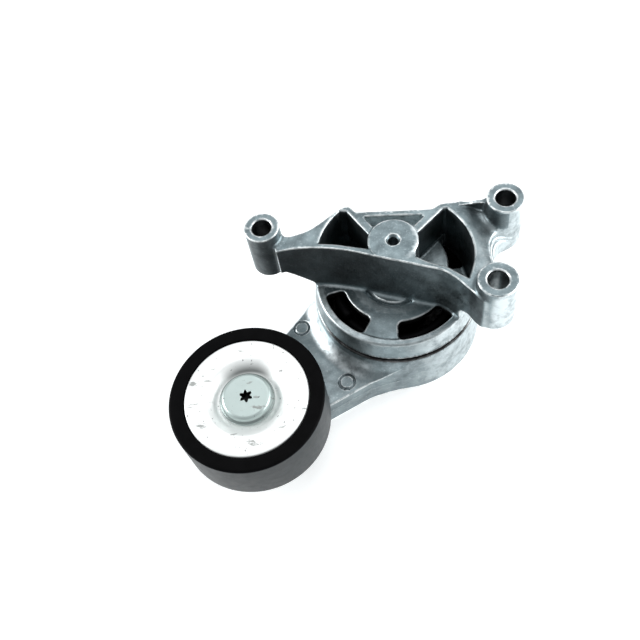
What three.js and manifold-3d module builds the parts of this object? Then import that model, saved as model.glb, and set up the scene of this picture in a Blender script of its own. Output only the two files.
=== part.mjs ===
// Ribbed-belt tensioner with its idler pulley: a three-boss die-cast bracket, a sprung swing arm and a
// smooth plastic pulley on a sealed ball bearing. Millimetres, +Z up. The origin is on the arm's pivot
// axis, in the plane of the arm's back, on which the tensioner lies.
import * as THREE from "three";
import { mergeVertices } from "three/addons/utils/BufferGeometryUtils.js";
import Module from "manifold-3d";

const wasm = await Module();
wasm.setup();

// ---------------------------------------------------------------- driving dimensions

const BIG = 44; // facets round the drum, the arm's cup and the pulley
const MEDIUM = 28; // facets round the bearing
const SMALL = 24; // facets round bosses, bores and shafts
const FIT = 0.1; // radial gap between pressed or running round pieces
const GAP = 0.3; // axial gap between pieces that rest on each other
const OVER = 1; // how far a cutter runs past the face it opens

const REACH = 85.4; // pivot axis to pulley axis
const ARM_ANGLE = THREE.MathUtils.degToRad(-137.8); // the arm's rest direction, from +X
const PULLEY = { x: REACH * Math.cos(ARM_ANGLE), y: REACH * Math.sin(ARM_ANGLE) };

const plate = { top: 14.7, side: 33.6, sideBend: [50, 24.9], tipSide: 16, heelTip: 10.4, tipRadius: 16 };
// The hollow curve in which the lever's heel side runs into the cup, along and across the lever
const HEEL_CURVE = [[19, -32], [24.5, -29], [30.5, -25.6], [38, -21.9]];
const cup = { top: 25.7, topR: 36.7, backR: 37.8, boreR: 32.4, floor: 6.2, fillet: 6.5 };
const drum = { bottom: 27.5, face: 37.1, bottomR: 36.6, faceR: 35.1, boreR: 33, wall: 4 };
const tower = { top: 64, webBottom: 45, hubR: 10.2, recessFloor: 57, recessHubR: 10.2 };
// The tower's top falls away from here, right of the right window, towards the upper right boss
const topSlope = { x: 29.5, y: 15.8, fallX: 0.62, fallY: 0.19 };
const facePocket = { r: 15.4, depth: 2.6, islandR: 13.4, islandDepth: 1.1 };
const windowStep = { r: 23.2, top: 45 }; // the raised floor round the hub in the right window
const slot = { innerR: 23.3, outerR: 32, corner: 2.2 };
const boss = { top: 70, bottom: 45, boreR: 4.2, chamfer: 0.5 };
const BOSSES = [
  { x: -54.3, y: 6.7, r: 7.4 },
  { x: 46.8, y: 13.2, r: 7.7 },
  { x: 39.5, y: -25.9, r: 8 },
];
// The drum's four windows for cooling and drain, as first and last angle in degrees
const SLOTS = [[194, 241.5], [270, 319], [5, 53], [131, 174]];

const shaft = { r: 7.3, top: 57, headR: 11, headHeight: 3 };
const hub = { outerR: 13, boreR: 9.6, bottom: 5.4, top: 29.2, counterboreR: 16.5 };
const bush = { rear: [5.6, 14.5], front: [17.5, 29] };
const spring = { r: 26.4, wireR: 2.2, turns: 4.6, bottom: 8.9, top: 30.5, facets: 3, steps: 15 };
const sleeve = { innerR: 31.3, outerR: 32.3, bottom: 6.6, top: 32.8 };
const stop = { outerR: 17.5, width: 14, travel: 35, start: 60 };

const pulley = { r: 32.5, back: 17.5, front: 42.5, rimR: 28.4, hubR: 23.2, edge: 1, ribs: 12 };
const bearing = { outerR: 20, boreR: 8.5, back: 24, front: 36, pitchR: 14.25, ballR: 3.35, balls: 8 };
const shield = { r: 26, dishR: 13, rimR: 17.4, holeR: 4.4, dish: 37.3, rim: 41, thick: 1.2 };
const bolt = { flangeR: 11.5, topR: 9.8, seat: 38.8, flange: 1.8, top: 42.8, shankR: 3.9, end: 6 };

// ---------------------------------------------------------------- solids

function solidFrom(geometry) {
  const bare = geometry.index ? geometry.toNonIndexed() : geometry.clone();
  bare.deleteAttribute("normal");
  bare.deleteAttribute("uv");
  const merged = mergeVertices(bare, 1e-4);
  return new wasm.Manifold(
    new wasm.Mesh({
      numProp: 3,
      vertProperties: merged.attributes.position.array,
      triVerts: new Uint32Array(merged.index.array),
    }),
  );
}

// An outline in XY, as a THREE.Shape, raised from one height to another.
function raise(shape, from, to, curveSegments = 6) {
  const geometry = new THREE.ExtrudeGeometry(shape, {
    depth: to - from,
    bevelEnabled: false,
    curveSegments,
  });
  return solidFrom(geometry.translate(0, 0, from));
}

// A closed profile of [radius, height] points, anticlockwise seen with the radius to the right,
// turned round the Z axis and moved to a place.
function turn(profile, facets, at = { x: 0, y: 0 }) {
  const points = [...profile, profile[0]].map(([r, z]) => new THREE.Vector2(r, z));
  const geometry = new THREE.LatheGeometry(points, facets);
  return solidFrom(geometry.rotateX(Math.PI / 2).translate(at.x, at.y, 0));
}

function disc(r, from, to, facets, at) {
  return turn([[0, from], [r, from], [r, to], [0, to]], facets, at);
}

function tube(innerR, outerR, from, to, facets, at) {
  return turn([[innerR, from], [outerR, from], [outerR, to], [innerR, to]], facets, at);
}

function block(sx, sy, sz, x, y, z, turnZ = 0) {
  const geometry = new THREE.BoxGeometry(sx, sy, sz).rotateZ(turnZ);
  return solidFrom(geometry.translate(x, y, z));
}

function outline(points) {
  return new THREE.Shape(points.map(([x, y]) => new THREE.Vector2(x, y)));
}

// Points on a smooth curve through a few given ones.
function curved(points, count) {
  const curve = new THREE.CatmullRomCurve3(points.map(([x, y]) => new THREE.Vector3(x, y, 0)));
  return curve.getPoints(count).map((p) => [p.x, p.y]);
}

function arcPoints(r, fromDeg, toDeg, count) {
  return Array.from({ length: count + 1 }, (_, i) => {
    const a = THREE.MathUtils.degToRad(fromDeg + ((toDeg - fromDeg) * i) / Math.max(count, 1));
    return [r * Math.cos(a), r * Math.sin(a)];
  });
}

// A ring sector in plan.
function sector(innerR, outerR, fromDeg, toDeg, count = 6) {
  return outline([
    ...arcPoints(outerR, fromDeg, toDeg, count),
    ...arcPoints(innerR, toDeg, fromDeg, count),
  ]);
}

// A ring sector with rounded corners.
function roundedSector(innerR, outerR, fromDeg, toDeg, corner) {
  const soft = 1 - Math.SQRT1_2; // how far the middle of a quarter round stands in from its corner
  const turnAt = (r) => THREE.MathUtils.radToDeg(corner / r);
  const [outerTurn, innerTurn] = [turnAt(outerR), turnAt(innerR)];
  return outline([
    ...arcPoints(outerR - corner, fromDeg, fromDeg, 0),
    ...arcPoints(outerR - corner * soft, fromDeg + outerTurn * soft, fromDeg, 0),
    ...arcPoints(outerR, fromDeg + outerTurn, toDeg - outerTurn, 6),
    ...arcPoints(outerR - corner * soft, toDeg - outerTurn * soft, toDeg, 0),
    ...arcPoints(outerR - corner, toDeg, toDeg, 0),
    ...arcPoints(innerR + corner, toDeg, toDeg, 0),
    ...arcPoints(innerR + corner * soft, toDeg - innerTurn * soft, toDeg, 0),
    ...arcPoints(innerR, toDeg - innerTurn, fromDeg + innerTurn, 6),
    ...arcPoints(innerR + corner * soft, fromDeg + innerTurn * soft, fromDeg, 0),
    ...arcPoints(innerR + corner, fromDeg, fromDeg, 0),
  ]);
}

function mesh(name, solid, material) {
  const data = solid.getMesh();
  const geometry = new THREE.BufferGeometry();
  geometry.setAttribute("position", new THREE.BufferAttribute(data.vertProperties, 3));
  geometry.setIndex(new THREE.BufferAttribute(data.triVerts, 1));
  geometry.computeVertexNormals();
  const made = new THREE.Mesh(geometry, material);
  made.name = name;
  return made;
}

// ---------------------------------------------------------------- materials

const finish = (color, roughness, metalness) =>
  new THREE.MeshStandardMaterial({ color, roughness, metalness });
const castAluminium = () => finish(0x9aa5a8, 0.5, 0.85);
const zincSteel = () => finish(0xdfe4e3, 0.35, 0.9);
const bearingSteel = () => finish(0xb5b8ba, 0.2, 1);
const springSteel = () => finish(0x2b2d2f, 0.45, 0.7);
const blackNylon = () => finish(0x1e1f20, 0.55, 0);
const darkRubber = () => finish(0x141414, 0.8, 0);
const paleNylon = () => finish(0xcfc7b0, 0.6, 0);

// ---------------------------------------------------------------- bracket

// Plan of the tower that joins the three bosses: a long curved rib on the near side, a concave
// flank between the two right-hand bosses, and a straight far side with a peak at each window.
function towerPlan() {
  const nearRib = curved(
    [[-49, -2.2], [-42, -1.2], [-30, -1.6], [-18, -4], [-8, -7.4], [2, -10.6], [12, -13.9],
      [19, -16.3], [24, -20.3], [28, -25], [34, -31.5]], 20);
  const flank = curved([[44, -22], [41.3, -13], [40.9, -6], [43.6, 1.2], [51, 8]], 12);
  const farSide = [[44, 17.6], [23.4, 17.7], [20.5, 17.2], [16.8, 14.9], [-15.2, 16.1],
    [-17.6, 19.2], [-19.6, 19.4]];
  const leftWing = curved([[-21.7, 18.5], [-26, 15.2], [-34.6, 8.7], [-43, 5.8], [-50, 6]], 10);
  return outline([...nearRib, ...flank, ...farSide, ...leftWing]);
}

function leftWindowPlan() {
  const wing = curved([[-31.1, 1.1], [-30.2, 4.2], [-28.2, 8.9], [-25.2, 13.6], [-22, 17.1]], 8);
  const rib = curved([[-10.4, -3.2], [-17.8, -1.4], [-24, 0.1], [-31.1, 1.1]], 8).slice(0, -1);
  return outline([...wing.reverse(), ...rib.reverse(), [-9.9, 3.6], [-19, 16.6]]);
}

function rightWindowPlan() {
  const flank = curved([[29.2, -20.4], [31.8, -12.5], [32.4, -5], [30.2, 4.4], [26.3, 11.1],
    [23.2, 14.7]], 10);
  const rib = curved([[9, -8.6], [14.4, -11.8], [21.3, -14.7], [25.8, -18.2]], 8);
  return outline([...rib, ...flank, [21.6, 14.6], [9.4, 2.2], [9, -5]]);
}

function recessPlan() {
  return outline([[-11.6, 12.9], [-7.4, 6.6], [7.6, 5.6], [13.2, 11.3], [12.4, 12.2], [-11, 13.2]]);
}

function bossBody({ x, y, r }) {
  return disc(r, boss.bottom, boss.top, SMALL, { x, y });
}

// A through bore with a small chamfer at both mouths.
function bossBore({ x, y }) {
  const { boreR, chamfer, bottom, top } = boss;
  const mouthR = boreR + chamfer + OVER;
  return turn([[0, bottom - OVER], [mouthR, bottom - OVER], [boreR, bottom + chamfer],
    [boreR, top - chamfer], [mouthR, top + OVER], [0, top + OVER]], SMALL, { x, y });
}

// The round pocket in the drum's face, about the hub.
function facePocketCutter() {
  const { r, depth, islandR, islandDepth } = facePocket;
  const top = drum.face;
  return turn([[0, top - islandDepth], [islandR, top - islandDepth], [islandR, top - depth],
    [r, top - depth], [r, top + OVER], [0, top + OVER]], MEDIUM);
}

function drumShell() {
  const { bottom, face, bottomR, faceR, boreR, wall } = drum;
  const inside = face - wall;
  const rim = turn([[0, inside], [boreR, inside], [boreR, bottom], [bottomR, bottom],
    [faceR, face - 0.8], [faceR - 0.8, face], [0, face]], BIG);
  let shell = rim.add(disc(hub.outerR, inside - 2.4, inside + OVER, MEDIUM)).subtract(facePocketCutter());
  for (const [from, to] of SLOTS) {
    const plan = roundedSector(slot.innerR, slot.outerR, from, to, slot.corner);
    shell = shell.subtract(raise(plan, bottom, face + OVER));
  }
  return shell;
}

// The web outside the drum ends above the arm's sweep; over the drum it stands on the drum's face.
function towerBody() {
  const plan = towerPlan();
  const upper = raise(plan, tower.webBottom, tower.top);
  const lower = raise(plan, drum.face - OVER, tower.webBottom + OVER)
    .intersect(disc(drum.faceR - 0.6, 0, tower.top, BIG));
  const inPocket = raise(plan, drum.face - facePocket.depth - 0.6, tower.webBottom)
    .intersect(disc(facePocket.r + 0.6, 0, tower.top, MEDIUM));
  return upper.add(lower).add(inPocket);
}

// All that lies above the plane to which the tower's top falls away.
function aboveSlope() {
  const { x, y, fallX, fallY } = topSlope;
  const up = new THREE.Vector3(fallX, fallY, 1).normalize();
  const tilt = new THREE.Quaternion().setFromUnitVectors(new THREE.Vector3(0, 0, 1), up);
  return solidFrom(new THREE.BoxGeometry(90, 90, 40).translate(0, 0, 20)
    .applyQuaternion(tilt).translate(x, y, tower.top));
}

// The left wing's lower edge climbs from the drum to the boss.
function wingSlope() {
  const side = outline([[-30, drum.face - OVER], [-35, drum.face + 0.2], [-47, 48], [-30, 48]]);
  const wedge = solidFrom(new THREE.ExtrudeGeometry(side, { depth: 60, bevelEnabled: false })
    .rotateX(Math.PI / 2).translate(0, 30, 0));
  return wedge.intersect(raise(towerPlan(), drum.face - OVER, tower.top));
}

function wingRelief() {
  const side = outline([[-60, 40], [-44, 40], [-44, 45.1], [-47, 48], [-60, 48]]);
  return solidFrom(new THREE.ExtrudeGeometry(side, { depth: 60, bevelEnabled: false })
    .rotateX(Math.PI / 2).translate(0, 30, 0));
}

// A thin wall that runs level from the tower's top to the upper right boss.
function bossGusset() {
  const side = outline([[29, tower.top], [29, 54], [42, 54], [42, tower.top + 0.6]]);
  return solidFrom(new THREE.ExtrudeGeometry(side, { depth: 1.8, bevelEnabled: false })
    .rotateX(Math.PI / 2).translate(0, 17.6, 0));
}

function underWebPocket() {
  return raise(outline([[35.4, -4], [38, -3], [39.6, 3], [43.4, 8.2], [38, 12], [30, 13.8],
    [33.4, 6]]), boss.bottom - OVER, 52);
}

// The arm's lug swings between two of these, which hang round the pivot inside the drum.
function stopLug(fromDeg) {
  return raise(sector(hub.outerR + GAP, stop.outerR, fromDeg, fromDeg + stop.width, 2),
    hub.top - 4, drum.face - OVER);
}

function bracketSolid() {
  const hubColumn = disc(tower.hubR, drum.face - facePocket.depth, tower.top, MEDIUM);
  let body = towerBody().subtract(aboveSlope()).add(wingSlope()).subtract(wingRelief()).add(bossGusset());
  for (const place of BOSSES) body = body.add(bossBody(place));
  for (const plan of [leftWindowPlan(), rightWindowPlan()])
    body = body.subtract(raise(plan, drum.bottom, tower.top + OVER));
  body = body.add(raise(rightWindowPlan(), drum.face - facePocket.depth - 0.5, windowStep.top)
    .intersect(disc(windowStep.r, 0, boss.top, BIG)));
  const recess = raise(recessPlan(), tower.recessFloor, tower.top + OVER)
    .subtract(disc(tower.recessHubR, 0, boss.top, MEDIUM));
  body = body.subtract(recess).subtract(underWebPocket()).add(hubColumn).add(drumShell());
  const play = 1; // degrees left at each stop
  body = body.add(stopLug(stop.start - stop.width - play))
    .add(stopLug(stop.start + stop.width + stop.travel + play));
  body = body.subtract(disc(shaft.r + FIT, 0, shaft.top + GAP, SMALL));
  body = body.subtract(turn([[0, 50], [2.1, 50], [2.1, tower.top - 0.5], [2.7, tower.top + 0.01],
    [0, tower.top + 0.01]], SMALL));
  for (const place of BOSSES) body = body.subtract(bossBore(place));
  return body;
}

// ---------------------------------------------------------------- arm

// An outline given along the lever, from pivot to pulley, and across it.
function leverOutline(points) {
  const c = Math.cos(ARM_ANGLE), s = Math.sin(ARM_ANGLE);
  return outline(points.map(([along, across]) =>
    [along * c + across * s, along * s - across * c]));
}

// Plan of the lever: a tapered plate from the cup to the round pad under the pulley.
function leverPlan() {
  const { side, sideBend, tipSide, heelTip } = plate;
  const heel = [[0, -34], ...curved(HEEL_CURVE, 6), [REACH, -heelTip]];
  return leverOutline([[0, side], ...heel, [REACH, tipSide], sideBend]);
}

function cupOuter() {
  const { top, topR, backR } = cup;
  return turn([[0, 0], [backR - 1, 0], [backR, 1], [topR, top - 0.6], [topR - 0.6, top], [0, top]], BIG);
}

// The sloping band where the lever's face runs up into the cup's wall.
function cupFillet(lever) {
  const { topR, fillet } = cup;
  const band = turn([[topR - 3, plate.top - OVER], [topR + fillet, plate.top - OVER],
    [topR + fillet, plate.top + 0.1], [topR + 2.2, plate.top + 2], [topR, plate.top + fillet],
    [topR - 3, plate.top + fillet]], BIG);
  return band.intersect(lever);
}

// Weight-saving pockets in the lever's back, either side of a middle rib.
const BACK_POCKETS = [
  [[40, 1.6], [40, 22.6], [63, 17.6], [67, 1.6]],
  [[67, -1.6], [63, -12.2], [40, -17.6], [40, -1.6]],
];

function armSolid() {
  const tall = raise(leverPlan(), 0, cup.top).add(disc(plate.tipRadius, 0, cup.top, MEDIUM, PULLEY));
  const lever = tall.intersect(block(300, 300, plate.top, 0, 0, plate.top / 2));
  let body = lever.add(cupOuter()).add(cupFillet(tall));
  body = body.subtract(disc(cup.boreR, cup.floor, cup.top + OVER, BIG));
  body = body.add(disc(hub.outerR, hub.bottom, hub.top, MEDIUM));
  body = body.subtract(disc(hub.boreR, -OVER, hub.top + OVER, SMALL));
  body = body.subtract(disc(hub.counterboreR, -OVER, hub.bottom, MEDIUM));
  for (const points of BACK_POCKETS)
    body = body.subtract(raise(leverOutline(points), -OVER, 10.5));
  body = body.add(disc(11.4, plate.top - OVER, bearing.back - FIT, MEDIUM, PULLEY));
  body = body.add(disc(bearing.boreR - FIT, plate.top, bearing.front - 0.5, MEDIUM, PULLEY));
  body = body.subtract(disc(bolt.shankR + FIT, bolt.end - GAP, bearing.front + OVER, SMALL, PULLEY));
  const lug = sector(hub.outerR - OVER, stop.outerR, stop.start, stop.start + stop.width, 2);
  return body.add(raise(lug, hub.top - 8, hub.top));
}

// ---------------------------------------------------------------- pivot

function pivotShaftSolid() {
  const { r, top, headR, headHeight } = shaft;
  return turn([[0, 0], [headR - 0.6, 0], [headR, 0.6], [headR, headHeight], [r, headHeight],
    [r, top - 0.8], [r - 0.8, top], [0, top]], SMALL);
}

function bushSolid([from, to]) {
  return tube(shaft.r + FIT, hub.boreR - FIT, from, to, SMALL);
}

function rearWasherSolid() {
  return tube(shaft.r + FIT, hub.counterboreR - 0.5, shaft.headHeight + FIT, hub.bottom - FIT, SMALL);
}

function frontWasherSolid() {
  const drumBossBottom = drum.face - drum.wall - 2.4;
  return tube(shaft.r + FIT, hub.outerR, hub.top + 0.2, drumBossBottom - 0.2, SMALL);
}

function springSolid() {
  const { r, wireR, turns, bottom, top, facets, steps } = spring;
  class Helix extends THREE.Curve {
    getPoint(t, target = new THREE.Vector3()) {
      const a = 2 * Math.PI * turns * t;
      return target.set(r * Math.cos(a), r * Math.sin(a), bottom + (top - bottom) * t);
    }
  }
  const wire = new THREE.Shape();
  wire.absarc(0, 0, wireR, 0, 2 * Math.PI);
  return solidFrom(new THREE.ExtrudeGeometry(wire, {
    steps: Math.round(turns * steps),
    curveSegments: facets,
    extrudePath: new Helix(),
  }));
}

// A flat friction ring fills the seam between the cup's rim and the drum's.
function frictionRingSolid() {
  return tube(drum.boreR, 35.2, cup.top + GAP, drum.bottom - GAP, BIG);
}

// ---------------------------------------------------------------- pulley

function pulleyShellSolid() {
  const { r, back, front, rimR, hubR, edge, ribs } = pulley;
  const seatR = bearing.outerR + FIT, lipR = seatR - 1.2;
  const recessR = shield.r + 0.4, groove = 30;
  const shell = turn([[lipR, bearing.back - 1.2], [hubR, bearing.back - 1.2], [hubR, groove],
    [rimR, groove], [rimR, back], [r - edge, back], [r, back + edge], [r, front - edge], [r - edge, front],
    [recessR, front], [recessR, 39.2], [hubR - 1, 38.4], [lipR, 37.4], [lipR, bearing.front + FIT],
    [seatR, bearing.front + FIT], [seatR, bearing.back - FIT], [lipR, bearing.back - FIT]], BIG, PULLEY);
  let made = shell;
  for (let i = 0; i < ribs; i++) {
    const a = (2 * Math.PI * (i + 0.5)) / ribs;
    const mid = (rimR + hubR) / 2;
    made = made.add(block(rimR - hubR + 1.2, 1.6, groove - back - 3, PULLEY.x + mid * Math.cos(a),
      PULLEY.y + mid * Math.sin(a), (groove + back + 4) / 2, a));
  }
  return made;
}

// Half-round race groove between two heights, as profile points.
function racePoints(side) {
  const grooveR = bearing.ballR + 0.2, middle = (bearing.back + bearing.front) / 2;
  const from = THREE.MathUtils.degToRad(-42), to = -from;
  return Array.from({ length: 5 }, (_, i) => {
    const a = from + ((to - from) * i) / 4;
    return [bearing.pitchR + side * grooveR * Math.cos(a), middle + grooveR * Math.sin(a)];
  });
}

function outerRingSolid() {
  const { outerR, back, front } = bearing;
  const landR = 16.9;
  return turn([[landR, back], [outerR, back], [outerR, front], [landR, front],
    ...racePoints(1).reverse()], MEDIUM, PULLEY);
}

function innerRingSolid() {
  const { boreR, back, front } = bearing;
  const landR = 11.6;
  return turn([[boreR, back], [landR, back], ...racePoints(-1), [landR, front], [boreR, front]],
    MEDIUM, PULLEY);
}

function ballPlace(i) {
  const a = (2 * Math.PI * i) / bearing.balls;
  return [PULLEY.x + bearing.pitchR * Math.cos(a), PULLEY.y + bearing.pitchR * Math.sin(a),
    (bearing.back + bearing.front) / 2];
}

function sphere(r, [x, y, z]) {
  return solidFrom(new THREE.SphereGeometry(r, 10, 6).translate(x, y, z));
}

function cageSolid() {
  let made = tube(13.4, 15.1, 25.7, 34.3, MEDIUM, PULLEY);
  for (let i = 0; i < bearing.balls; i++) {
    const pocketR = bearing.ballR + 0.3;
    const pocket = new THREE.CylinderGeometry(pocketR, pocketR, 4, 12).rotateZ(Math.PI / 2)
      .rotateZ((2 * Math.PI * i) / bearing.balls).translate(...ballPlace(i));
    made = made.subtract(solidFrom(pocket));
  }
  return made;
}

function sealSolid(from, to) {
  return tube(11.9, 16.7, from, to, MEDIUM, PULLEY);
}

function dustShieldSolid() {
  const { r, dishR, rimR, holeR, dish, rim, thick } = shield;
  return turn([[holeR, dish], [dishR, dish], [rimR, rim], [r - 0.9, rim], [r - 0.9, rim - 0.8],
    [r, rim - 0.8], [r, rim + thick - 0.6], [r - 0.6, rim + thick], [rimR - 0.4, rim + thick],
    [dishR - 0.4, dish + thick], [holeR, dish + thick]], MEDIUM, PULLEY);
}

function spacerSolid() {
  return tube(bolt.shankR + 0.4, 11, bearing.front + FIT, shield.dish - FIT, MEDIUM, PULLEY);
}

// Six-lobe socket plan.
function socketPlan() {
  const points = [];
  for (let i = 0; i < 24; i++) {
    const a = (2 * Math.PI * i) / 24;
    const r = 2.45 + 0.4 * Math.cos(6 * a);
    points.push([PULLEY.x + r * Math.cos(a), PULLEY.y + r * Math.sin(a)]);
  }
  return outline(points);
}

function pulleyBoltSolid() {
  const { flangeR, topR, seat, flange, top, shankR, end } = bolt;
  const body = turn([[0, end], [shankR - 0.8, end], [shankR, end + 0.8], [shankR, seat],
    [flangeR - 0.3, seat], [flangeR, seat + 0.4], [flangeR, seat + flange], [topR + 0.8, top - 1],
    [topR, top - 0.3], [topR - 1.2, top], [0, top]], MEDIUM, PULLEY);
  return body.subtract(raise(socketPlan(), top - 3, top + OVER));
}

// ---------------------------------------------------------------- assembly

const tensioner = new THREE.Group();
tensioner.name = "belt_tensioner";

tensioner.add(
  mesh("bracket", bracketSolid(), castAluminium()),
  mesh("pivot_shaft", pivotShaftSolid(), bearingSteel()),
  mesh("torsion_spring", springSolid(), springSteel()),
  mesh("friction_ring", frictionRingSolid(), blackNylon()),
  mesh("rear_thrust_washer", rearWasherSolid(), bearingSteel()),
  mesh("front_thrust_washer", frontWasherSolid(), paleNylon()),
);

tensioner.add(
  mesh("tensioner_arm", armSolid(), castAluminium()),
  mesh("damping_sleeve", tube(sleeve.innerR, sleeve.outerR, sleeve.bottom, sleeve.top, BIG), blackNylon()),
  mesh("rear_pivot_bush", bushSolid(bush.rear), paleNylon()),
  mesh("front_pivot_bush", bushSolid(bush.front), paleNylon()),
  mesh("bearing_inner_ring", innerRingSolid(), bearingSteel()),
  mesh("shield_spacer", spacerSolid(), zincSteel()),
  mesh("front_dust_shield", dustShieldSolid(), zincSteel()),
  mesh("pulley_bolt", pulleyBoltSolid(), zincSteel()),
);

tensioner.add(
  mesh("pulley_shell", pulleyShellSolid(), blackNylon()),
  mesh("bearing_outer_ring", outerRingSolid(), bearingSteel()),
  mesh("rear_bearing_seal", sealSolid(24.2, 25.1), darkRubber()),
  mesh("front_bearing_seal", sealSolid(34.9, 35.8), darkRubber()),
);

tensioner.add(mesh("bearing_cage", cageSolid(), paleNylon()));
for (let i = 0; i < bearing.balls; i++)
  tensioner.add(mesh(`bearing_ball_${i + 1}`, sphere(bearing.ballR, ballPlace(i)), bearingSteel()));

export default tensioner;
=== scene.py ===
"""Looks of the belt tensioner: fine cast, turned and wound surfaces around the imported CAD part.

Lengths below are millimetres in the CAD frame; meshes are scaled to metres as they are made. The two
castings are distance fields, meshed on a grid and drawn onto the exact surface, so that every junction
gets a cast fillet and every rim a small radius. Round pieces are turned from profiles with corner radii.
"""
import math

import bpy
import numpy as np
from mathutils import Matrix, Vector


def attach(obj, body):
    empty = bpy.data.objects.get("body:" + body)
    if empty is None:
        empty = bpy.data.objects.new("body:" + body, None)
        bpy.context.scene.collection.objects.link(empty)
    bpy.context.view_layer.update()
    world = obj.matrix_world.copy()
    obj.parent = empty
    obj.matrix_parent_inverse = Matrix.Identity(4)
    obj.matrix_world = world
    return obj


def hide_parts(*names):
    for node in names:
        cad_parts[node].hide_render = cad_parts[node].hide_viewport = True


MM = 0.001
REACH, ARM_ANGLE = 85.4, math.radians(-137.8)
PULLEY = (REACH * math.cos(ARM_ANGLE), REACH * math.sin(ARM_ANGLE))
BOSSES = ((-54.3, 6.7, 7.4), (46.8, 13.2, 7.7), (39.5, -25.9, 8.0))
SLOTS = ((194, 241.5), (270, 319), (5, 53), (131, 174))
FACE = 37.1  # height of the drum's face
TOP = 64.0  # height of the tower
BACK = 45.0  # height of the bosses' backs, and of the tower's where it reaches past the drum
FRONT = 70.0  # height of the bosses' fronts
HUB = 10.6  # radius of the hub's face
BORE = 4.2  # radius of the bosses' bores
PAD = 14.7  # height of the lever
PIN_MARK = 3.4  # radius of the ring that an ejector pin leaves
BALLS, BALL_PATH, BALL_HEIGHT = 8, 14.25, 30

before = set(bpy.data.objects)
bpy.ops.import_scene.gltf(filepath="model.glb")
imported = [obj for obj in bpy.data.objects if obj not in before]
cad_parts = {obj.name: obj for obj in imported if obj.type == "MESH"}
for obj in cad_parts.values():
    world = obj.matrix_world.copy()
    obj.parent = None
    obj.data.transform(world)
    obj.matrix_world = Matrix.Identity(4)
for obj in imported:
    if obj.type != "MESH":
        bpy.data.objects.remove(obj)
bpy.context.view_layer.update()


# ------------------------------------------------------------ outlines

def curved(points, count):
    """Points on a smooth curve through a few given ones (centripetal Catmull-Rom)."""
    p = np.array([np.subtract(np.multiply(points[0], 2), points[1]), *points,
                  np.subtract(np.multiply(points[-1], 2), points[-2])], float)
    out = []
    spans = len(points) - 1
    for k in range(count + 1):
        u = min(k * spans / count, spans - 1e-9)
        i, t = int(u), u - int(u)
        knots = [0.0]
        for a, b in ((0, 1), (1, 2), (2, 3)):
            knots.append(knots[-1] + math.sqrt(np.linalg.norm(p[i + b] - p[i + a])))
        t0, t1, t2, t3 = knots
        s = t1 + t * (t2 - t1)
        mix = lambda a, b, ta, tb: ((tb - s) * a + (s - ta) * b) / (tb - ta)
        a1, a2, a3 = (mix(p[i], p[i + 1], t0, t1), mix(p[i + 1], p[i + 2], t1, t2),
                      mix(p[i + 2], p[i + 3], t2, t3))
        out.append(tuple(mix(mix(a1, a2, t0, t2), mix(a2, a3, t1, t3), t1, t2)))
    return out


def rounded(points, steps=5):
    """A closed outline of (x, y) or (x, y, radius) points with each given corner radius put in."""
    out = []
    n = len(points)
    for i, point in enumerate(points):
        p = np.array(point[:2], float)
        r = point[2] if len(point) > 2 else 0
        if not r:
            out.append(tuple(p))
            continue
        u = np.array(points[i - 1][:2], float) - p
        v = np.array(points[(i + 1) % n][:2], float) - p
        lu, lv = np.linalg.norm(u), np.linalg.norm(v)
        u, v = u / lu, v / lv
        half = math.acos(max(-1, min(1, float(u @ v)))) / 2
        back = min(r / math.tan(half), 0.49 * lu, 0.49 * lv)
        r = back * math.tan(half)
        centre = p + (u + v) / np.linalg.norm(u + v) * (r / math.sin(half))
        start, end = p + u * back - centre, p + v * back - centre
        a0 = math.atan2(start[1], start[0])
        turn = (math.atan2(end[1], end[0]) - a0 + math.pi) % (2 * math.pi) - math.pi
        for k in range(steps + 1):
            a = a0 + turn * k / steps
            out.append((centre[0] + r * math.cos(a), centre[1] + r * math.sin(a)))
    return out


def along_arm(points):
    """An outline given along the lever, from pivot to pulley, and across it."""
    c, s = math.cos(ARM_ANGLE), math.sin(ARM_ANGLE)
    return [(a * c + b * s, a * s - b * c, *rest) for a, b, *rest in points]


# ------------------------------------------------------------ distance fields

def plan(points):
    """Signed distance to a closed outline, negative inside."""
    a = np.array(points, float)
    edges = [(p, q) for p, q in zip(a, np.roll(a, -1, 0)) if np.linalg.norm(q - p) > 1e-6]

    def distance(x, y):
        near = np.full(np.broadcast(x, y).shape, 1e12)
        inside = np.zeros(near.shape, bool)
        for (ax, ay), (bx, by) in edges:
            ex, ey = bx - ax, by - ay
            px, py = x - ax, y - ay
            t = np.clip((px * ex + py * ey) / (ex * ex + ey * ey), 0, 1)
            near = np.minimum(near, (px - ex * t) ** 2 + (py - ey * t) ** 2)
            if ey:
                inside ^= ((ay > y) != (by > y)) & (px < ex * py / ey)
        return np.where(inside, -1, 1) * np.sqrt(near)

    return distance


def meet(a, b, edge):
    """Intersection, its convex edge rounded to a radius."""
    a, b = a + edge, b + edge
    return (np.minimum(np.maximum(a, b), 0)
            + np.sqrt(np.maximum(a, 0) ** 2 + np.maximum(b, 0) ** 2) - edge)


def prism(d, z, low, high, edge=0.5):
    """A plan distance raised from one height to another, its edges rounded."""
    return meet(d, np.abs(z - (low + high) / 2) - (high - low) / 2, edge)


def join(a, b, k):
    """Union; k is how far the concave fillet reaches."""
    h = np.maximum(k - np.abs(a - b), 0) / np.maximum(k, 1e-6)
    return np.minimum(a, b) - h * h * k / 4


def cut(a, b, k):
    """a without b; k rounds the rim that is left."""
    return -join(-a, b, k)


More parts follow.
